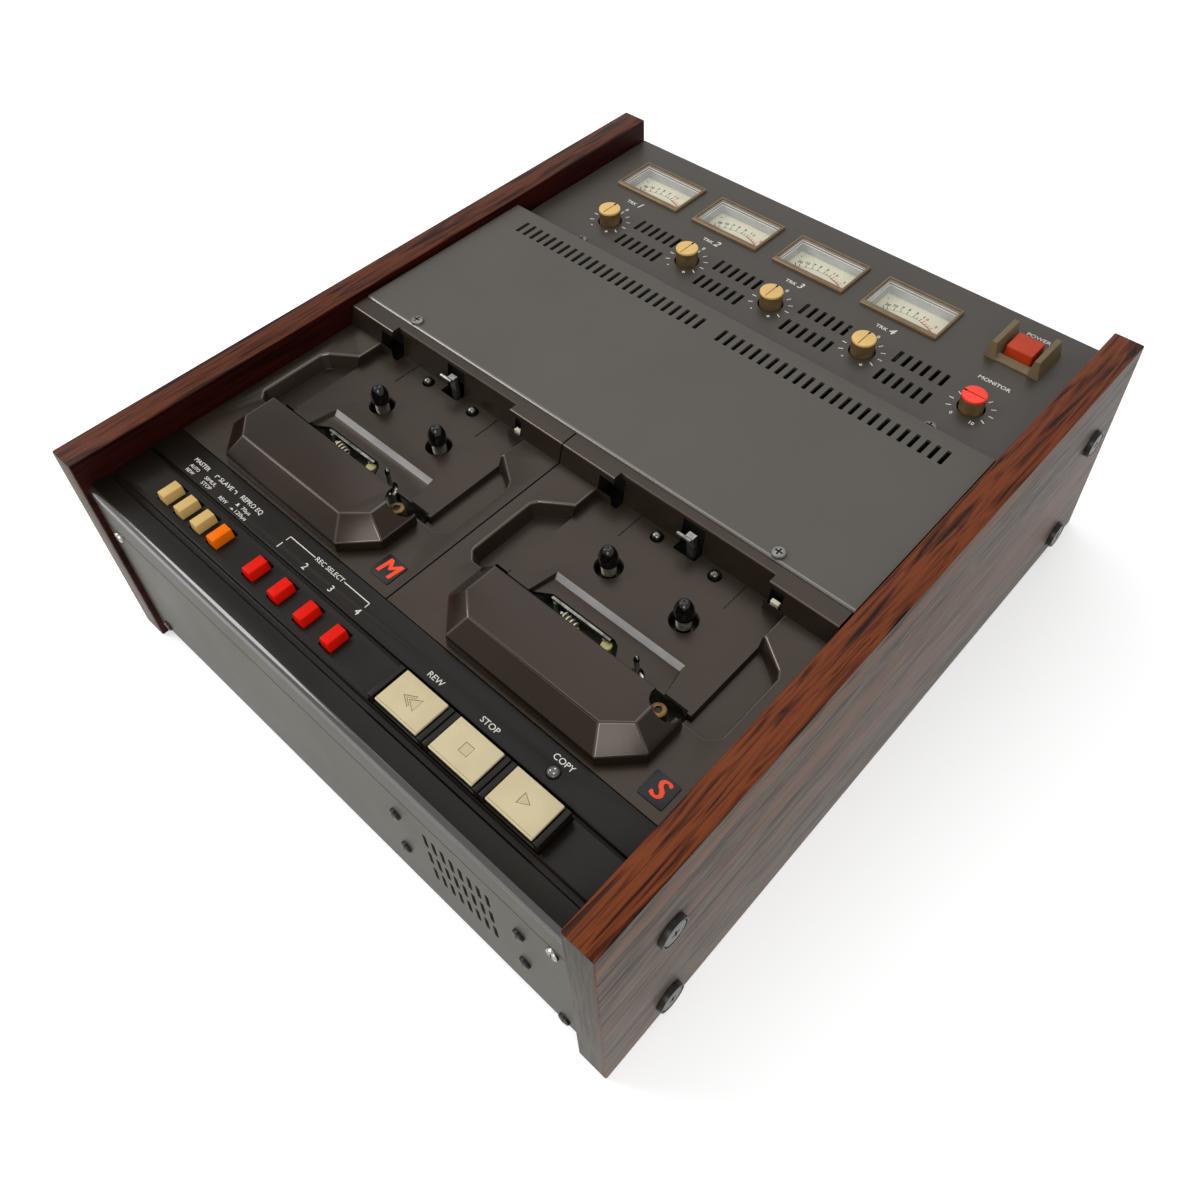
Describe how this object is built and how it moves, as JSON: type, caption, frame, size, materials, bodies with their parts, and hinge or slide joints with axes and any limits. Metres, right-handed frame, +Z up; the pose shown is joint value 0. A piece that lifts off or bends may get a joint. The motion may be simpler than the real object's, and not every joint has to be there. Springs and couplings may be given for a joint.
{
  "type": "cassette duplicator",
  "caption": "Desktop cassette duplicator with open master and slave decks, head covers, spindles, transport keys, level meters and knobs between wooden cheeks.",
  "frame": {"origin": "middle of the rest face under the two cheeks, on the surface the duplicator stands on", "axes": "+X to the right as seen by the person at the keys, +Y to the rear, +Z up"},
  "size_m": [0.3466, 0.393, 0.133],
  "materials": {
    "rosewood": "satin oiled rosewood veneer",
    "case_paint": "satin grey-green paint",
    "cover_paint": "fine satin grey-brown paint",
    "bezel_plastic": "dark brown-black satin moulding",
    "deck_plastic": "bronze-brown metallic satin moulding",
    "screw_steel": "bright plated",
    "black_plastic": "black moulding",
    "meter_frame": "bronze moulding",
    "clear_plastic": "clear window",
    "dial": "cream dial in a pale moulded case",
    "needle": "black",
    "knob": "brown fluted body, gold cap",
    "red_knob": "brown fluted body, red cap",
    "guard": "tan moulding",
    "power_orange": "orange-red",
    "beige": "beige",
    "orange": "orange",
    "red": "red",
    "key_cream": "cream cap on a dark body",
    "lens": "clear grey lens",
    "mechanism_steel": "zinc-plated, greenish",
    "chrome": "polished",
    "brass": "turned",
    "rubber": "matt",
    "cream_tab": "cream",
    "board": "green glass-fibre board with switch and control bodies",
    "motor": "plated cans",
    "iron": "laminated core, varnished"
  },
  "bodies": {
    "case": {"left_cheek": "rosewood", "right_cheek": "rosewood", "cheek_screws": "screw_steel", "bottom_tray": "case_paint", "front_rail": "case_paint", "mains_inlet": "black_plastic", "control_bezel": "bezel_plastic", "deck_cover_master": "deck_plastic", "deck_cover_slave": "deck_plastic", "head_cover_master": "deck_plastic", "head_cover_slave": "deck_plastic", "rear_cover": "cover_paint", "meter_panel": "cover_paint", "panel_screws": "screw_steel", "meter_frames": "meter_frame", "meter_windows": "clear_plastic", "meter_cases": "dial", "power_guard": "guard", "copy_lamp": "lens", "mechanism_plates": "mechanism_steel", "circuit_boards": "board", "drive_motors": "motor", "transformer": "iron"},
    "meter_needle_1": {"meter_needle_1": "needle"},
    "meter_needle_2": {"meter_needle_2": "needle"},
    "meter_needle_3": {"meter_needle_3": "needle"},
    "meter_needle_4": {"meter_needle_4": "needle"},
    "track_knob_1": {"track_knob_1": "knob"},
    "track_knob_2": {"track_knob_2": "knob"},
    "track_knob_3": {"track_knob_3": "knob"},
    "track_knob_4": {"track_knob_4": "knob"},
    "monitor_knob": {"monitor_knob": "red_knob"},
    "power_button": {"power_button": "power_orange"},
    "auto_rewind_button": {"auto_rewind_button": "beige"},
    "simul_stop_button": {"simul_stop_button": "beige"},
    "slave_rewind_button": {"slave_rewind_button": "beige"},
    "eq_button": {"eq_button": "orange"},
    "record_select_1": {"record_select_1": "red"},
    "record_select_2": {"record_select_2": "red"},
    "record_select_3": {"record_select_3": "red"},
    "record_select_4": {"record_select_4": "red"},
    "rewind_key": {"rewind_key": "key_cream"},
    "stop_key": {"stop_key": "key_cream"},
    "copy_key": {"copy_key": "key_cream"},
    "supply_spindle_master": {"supply_spindle_master": "black_plastic"},
    "takeup_spindle_master": {"takeup_spindle_master": "black_plastic"},
    "capstan_master": {"capstan_master": "chrome"},
    "head_plate_master": {"head_plate_master": "mechanism_steel"},
    "pinch_arm_master": {"pinch_arm_master": "brass"},
    "cassette_lever_master": {"cassette_lever_master": "chrome"},
    "tab_lever_master": {"tab_lever_master": "cream_tab"},
    "supply_spindle_slave": {"supply_spindle_slave": "black_plastic"},
    "takeup_spindle_slave": {"takeup_spindle_slave": "black_plastic"},
    "capstan_slave": {"capstan_slave": "chrome"},
    "head_plate_slave": {"head_plate_slave": "mechanism_steel"},
    "pinch_arm_slave": {"pinch_arm_slave": "brass"},
    "cassette_lever_slave": {"cassette_lever_slave": "chrome"},
    "tab_lever_slave": {"tab_lever_slave": "cream_tab"},
    "pinch_roller_master": {"pinch_roller_master": "rubber"},
    "pinch_roller_slave": {"pinch_roller_slave": "rubber"}
  },
  "joints": [
    {"name": "meter_needle_1_swing", "type": "hinge", "parent": "case", "child": "meter_needle_1", "pos_m": [-0.1108, 0.1366, 0.11415], "axis": [0, 0, -1], "range_deg": [0, 66], "stiffness_Nm_per_rad": 0.0002, "springref_deg": -2.86},
    {"name": "meter_needle_2_swing", "type": "hinge", "parent": "case", "child": "meter_needle_2", "pos_m": [-0.053, 0.1366, 0.11415], "axis": [0, 0, -1], "range_deg": [0, 66], "stiffness_Nm_per_rad": 0.0002, "springref_deg": -2.86},
    {"name": "meter_needle_3_swing", "type": "hinge", "parent": "case", "child": "meter_needle_3", "pos_m": [0.0048, 0.1366, 0.11415], "axis": [0, 0, -1], "range_deg": [0, 66], "stiffness_Nm_per_rad": 0.0002, "springref_deg": -2.86},
    {"name": "meter_needle_4_swing", "type": "hinge", "parent": "case", "child": "meter_needle_4", "pos_m": [0.0626, 0.1366, 0.11415], "axis": [0, 0, -1], "range_deg": [0, 66], "stiffness_Nm_per_rad": 0.0002, "springref_deg": -2.86},
    {"name": "track_knob_1_turn", "type": "hinge", "parent": "case", "child": "track_knob_1", "pos_m": [-0.1114, 0.1168, 0.12], "axis": [0, 0, -1], "range_deg": [-150, 150]},
    {"name": "track_knob_2_turn", "type": "hinge", "parent": "case", "child": "track_knob_2", "pos_m": [-0.0536, 0.1168, 0.12], "axis": [0, 0, -1], "range_deg": [-150, 150]},
    {"name": "track_knob_3_turn", "type": "hinge", "parent": "case", "child": "track_knob_3", "pos_m": [0.0042, 0.1168, 0.12], "axis": [0, 0, -1], "range_deg": [-150, 150]},
    {"name": "track_knob_4_turn", "type": "hinge", "parent": "case", "child": "track_knob_4", "pos_m": [0.062, 0.1168, 0.12], "axis": [0, 0, -1], "range_deg": [-150, 150]},
    {"name": "monitor_knob_turn", "type": "hinge", "parent": "case", "child": "monitor_knob", "pos_m": [0.1244, 0.1168, 0.12], "axis": [0, 0, -1], "range_deg": [-60, 240]},
    {"name": "power_press", "type": "slide", "parent": "case", "child": "power_button", "axis": [0, 0, -1], "range_m": [0, 0.003], "stiffness_N_per_m": 150, "springref_m": -0.004},
    {"name": "auto_rewind_button_press", "type": "slide", "parent": "case", "child": "auto_rewind_button", "axis": [0, 0, -1], "range_m": [0, 0.0025], "stiffness_N_per_m": 100, "springref_m": -0.004},
    {"name": "simul_stop_button_press", "type": "slide", "parent": "case", "child": "simul_stop_button", "axis": [0, 0, -1], "range_m": [0, 0.0025], "stiffness_N_per_m": 100, "springref_m": -0.004},
    {"name": "slave_rewind_button_press", "type": "slide", "parent": "case", "child": "slave_rewind_button", "axis": [0, 0, -1], "range_m": [0, 0.0025], "stiffness_N_per_m": 100, "springref_m": -0.004},
    {"name": "eq_button_press", "type": "slide", "parent": "case", "child": "eq_button", "axis": [0, 0, -1], "range_m": [0, 0.0025], "stiffness_N_per_m": 100, "springref_m": -0.004},
    {"name": "record_select_1_press", "type": "slide", "parent": "case", "child": "record_select_1", "axis": [0, 0, -1], "range_m": [0, 0.0025], "stiffness_N_per_m": 100, "springref_m": -0.004},
    {"name": "record_select_2_press", "type": "slide", "parent": "case", "child": "record_select_2", "axis": [0, 0, -1], "range_m": [0, 0.0025], "stiffness_N_per_m": 100, "springref_m": -0.004},
    {"name": "record_select_3_press", "type": "slide", "parent": "case", "child": "record_select_3", "axis": [0, 0, -1], "range_m": [0, 0.0025], "stiffness_N_per_m": 100, "springref_m": -0.004},
    {"name": "record_select_4_press", "type": "slide", "parent": "case", "child": "record_select_4", "axis": [0, 0, -1], "range_m": [0, 0.0025], "stiffness_N_per_m": 100, "springref_m": -0.004},
    {"name": "rewind_key_press", "type": "slide", "parent": "case", "child": "rewind_key", "axis": [0, 0, -1], "range_m": [0, 0.003], "stiffness_N_per_m": 200, "springref_m": -0.004},
    {"name": "stop_key_press", "type": "slide", "parent": "case", "child": "stop_key", "axis": [0, 0, -1], "range_m": [0, 0.003], "stiffness_N_per_m": 200, "springref_m": -0.004},
    {"name": "copy_key_press", "type": "slide", "parent": "case", "child": "copy_key", "axis": [0, 0, -1], "range_m": [0, 0.003], "stiffness_N_per_m": 200, "springref_m": -0.004},
    {"name": "supply_spindle_master_spin", "type": "hinge", "parent": "case", "child": "supply_spindle_master", "pos_m": [-0.098, -0.06565, 0.105], "axis": [0, 0, 1], "continuous": true},
    {"name": "takeup_spindle_master_spin", "type": "hinge", "parent": "case", "child": "takeup_spindle_master", "pos_m": [-0.0555, -0.06565, 0.105], "axis": [0, 0, 1], "continuous": true},
    {"name": "capstan_master_spin", "type": "hinge", "parent": "case", "child": "capstan_master", "pos_m": [-0.05355, -0.0973, 0.06], "axis": [0, 0, 1], "continuous": true},
    {"name": "head_plate_master_slide", "type": "slide", "parent": "case", "child": "head_plate_master", "axis": [0, 1, 0], "range_m": [0, 0.009], "stiffness_N_per_m": 120, "springref_m": -0.004},
    {"name": "pinch_arm_master_swing", "type": "hinge", "parent": "case", "child": "pinch_arm_master", "pos_m": [-0.03135, -0.1098, 0.112], "axis": [0, 0, -1], "range_deg": [0, 20.7]},
    {"name": "cassette_lever_master_swing", "type": "hinge", "parent": "case", "child": "cassette_lever_master", "pos_m": [-0.07645, -0.0356, 0.0996], "axis": [-1, 0, 0], "range_deg": [0, 5], "stiffness_Nm_per_rad": 0.05, "springref_deg": -11.46},
    {"name": "tab_lever_master_swing", "type": "hinge", "parent": "case", "child": "tab_lever_master", "pos_m": [-0.03105, -0.0356, 0.0996], "axis": [-1, 0, 0], "range_deg": [0, 5], "stiffness_Nm_per_rad": 0.05, "springref_deg": -11.46},
    {"name": "supply_spindle_slave_spin", "type": "hinge", "parent": "case", "child": "supply_spindle_slave", "pos_m": [0.0555, -0.06565, 0.105], "axis": [0, 0, 1], "continuous": true},
    {"name": "takeup_spindle_slave_spin", "type": "hinge", "parent": "case", "child": "takeup_spindle_slave", "pos_m": [0.098, -0.06565, 0.105], "axis": [0, 0, 1], "continuous": true},
    {"name": "capstan_slave_spin", "type": "hinge", "parent": "case", "child": "capstan_slave", "pos_m": [0.09995, -0.0973, 0.06], "axis": [0, 0, 1], "continuous": true},
    {"name": "head_plate_slave_slide", "type": "slide", "parent": "case", "child": "head_plate_slave", "axis": [0, 1, 0], "range_m": [0, 0.009], "stiffness_N_per_m": 120, "springref_m": -0.004},
    {"name": "pinch_arm_slave_swing", "type": "hinge", "parent": "case", "child": "pinch_arm_slave", "pos_m": [0.12215, -0.1098, 0.112], "axis": [0, 0, -1], "range_deg": [0, 20.7]},
    {"name": "cassette_lever_slave_swing", "type": "hinge", "parent": "case", "child": "cassette_lever_slave", "pos_m": [0.07705, -0.0356, 0.0996], "axis": [-1, 0, 0], "range_deg": [0, 5], "stiffness_Nm_per_rad": 0.05, "springref_deg": -11.46},
    {"name": "tab_lever_slave_swing", "type": "hinge", "parent": "case", "child": "tab_lever_slave", "pos_m": [0.12245, -0.0356, 0.0996], "axis": [-1, 0, 0], "range_deg": [0, 5], "stiffness_Nm_per_rad": 0.05, "springref_deg": -11.46},
    {"name": "pinch_roller_master_spin", "type": "hinge", "parent": "pinch_arm_master", "child": "pinch_roller_master", "pos_m": [-0.05345, -0.11278, 0.118], "axis": [0, 0, 1], "continuous": true},
    {"name": "pinch_roller_slave_spin", "type": "hinge", "parent": "pinch_arm_slave", "child": "pinch_roller_slave", "pos_m": [0.10005, -0.11278, 0.118], "axis": [0, 0, 1], "continuous": true}
  ],
  "couplings": [
    {"joint": "pinch_arm_master_swing", "follows": "head_plate_master_slide", "rad_per_m": 39.755},
    {"joint": "pinch_arm_slave_swing", "follows": "head_plate_slave_slide", "rad_per_m": 39.755}
  ]
}
